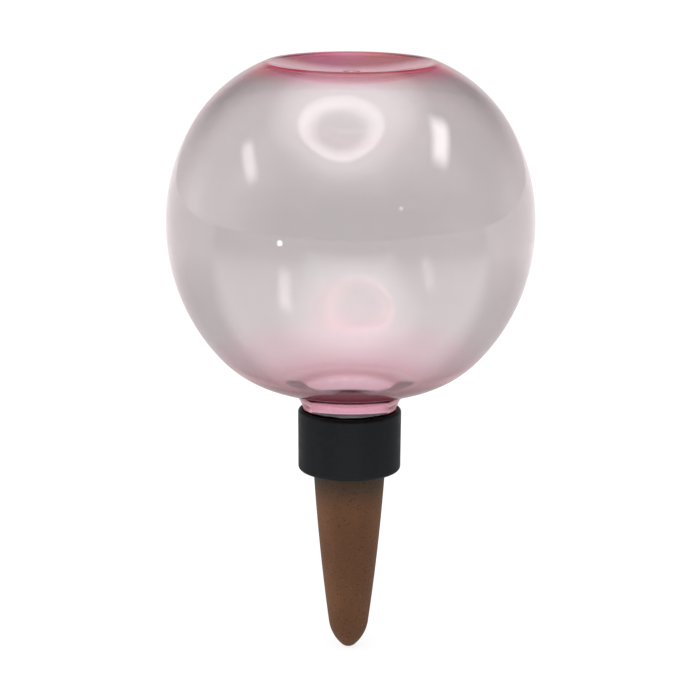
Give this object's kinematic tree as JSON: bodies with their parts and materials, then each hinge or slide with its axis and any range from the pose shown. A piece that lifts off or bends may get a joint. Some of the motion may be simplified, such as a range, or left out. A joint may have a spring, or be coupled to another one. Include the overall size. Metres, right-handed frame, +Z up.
{
  "type": "watering globe",
  "caption": "Watering globe: a round clear pink reservoir with a dished crown stands neck down in a black rubber collar on a tapered porous clay cone that is pushed into potting soil.",
  "frame": {"origin": "centre of the collar's flat underside, which rests on the soil", "axes": "+Z up the common axis of the three pieces, from the cone's tip to the globe's crown; the object is round, so X and Y are free"},
  "size_m": [0.13, 0.13, 0.2141],
  "materials": {
    "clear_pink_plastic": "clear, smooth, blown, a little pinker at the crown and the neck",
    "black_rubber": "satin",
    "fired_clay": "matte, unglazed, porous"
  },
  "bodies": {
    "clay_cone": {"clay_cone": "fired_clay"},
    "collar": {"collar": "black_rubber"},
    "globe": {"globe": "clear_pink_plastic"}
  },
  "joints": [
    {"name": "collar_lift", "type": "slide", "parent": "clay_cone", "child": "collar", "axis": [0, 0, 1], "range_m": [0, 0.03]},
    {"name": "globe_lift", "type": "slide", "parent": "collar", "child": "globe", "axis": [0, 0, 1], "range_m": [0, 0.06]}
  ]
}
